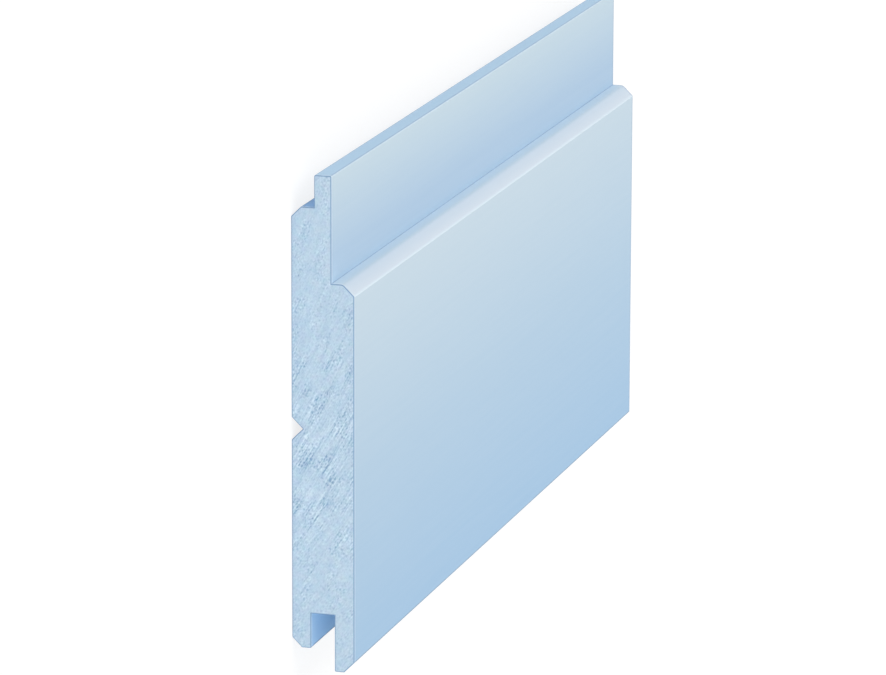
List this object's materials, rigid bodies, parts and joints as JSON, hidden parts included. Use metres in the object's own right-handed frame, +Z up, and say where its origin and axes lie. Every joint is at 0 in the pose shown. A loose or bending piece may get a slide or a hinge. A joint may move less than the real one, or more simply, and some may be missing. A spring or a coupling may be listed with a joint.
{
  "type": "shiplap board",
  "caption": "Short length of primed shiplap cladding board: offset tongue with a deep front rebate, lipped groove, chamfered channel edges and a back relief groove.",
  "frame": {"origin": "on the back face, under the middle of the board's footprint", "axes": "+X along the board, +Y across it towards the tongue, +Z up out of the weather face"},
  "size_m": [0.3, 0.14, 0.018],
  "materials": {
    "primed_pine": "pale blue primer, satin, with blue-tinted sawn end grain"
  },
  "bodies": {
    "root": {"board": "primed_pine"}
  },
  "joints": []
}
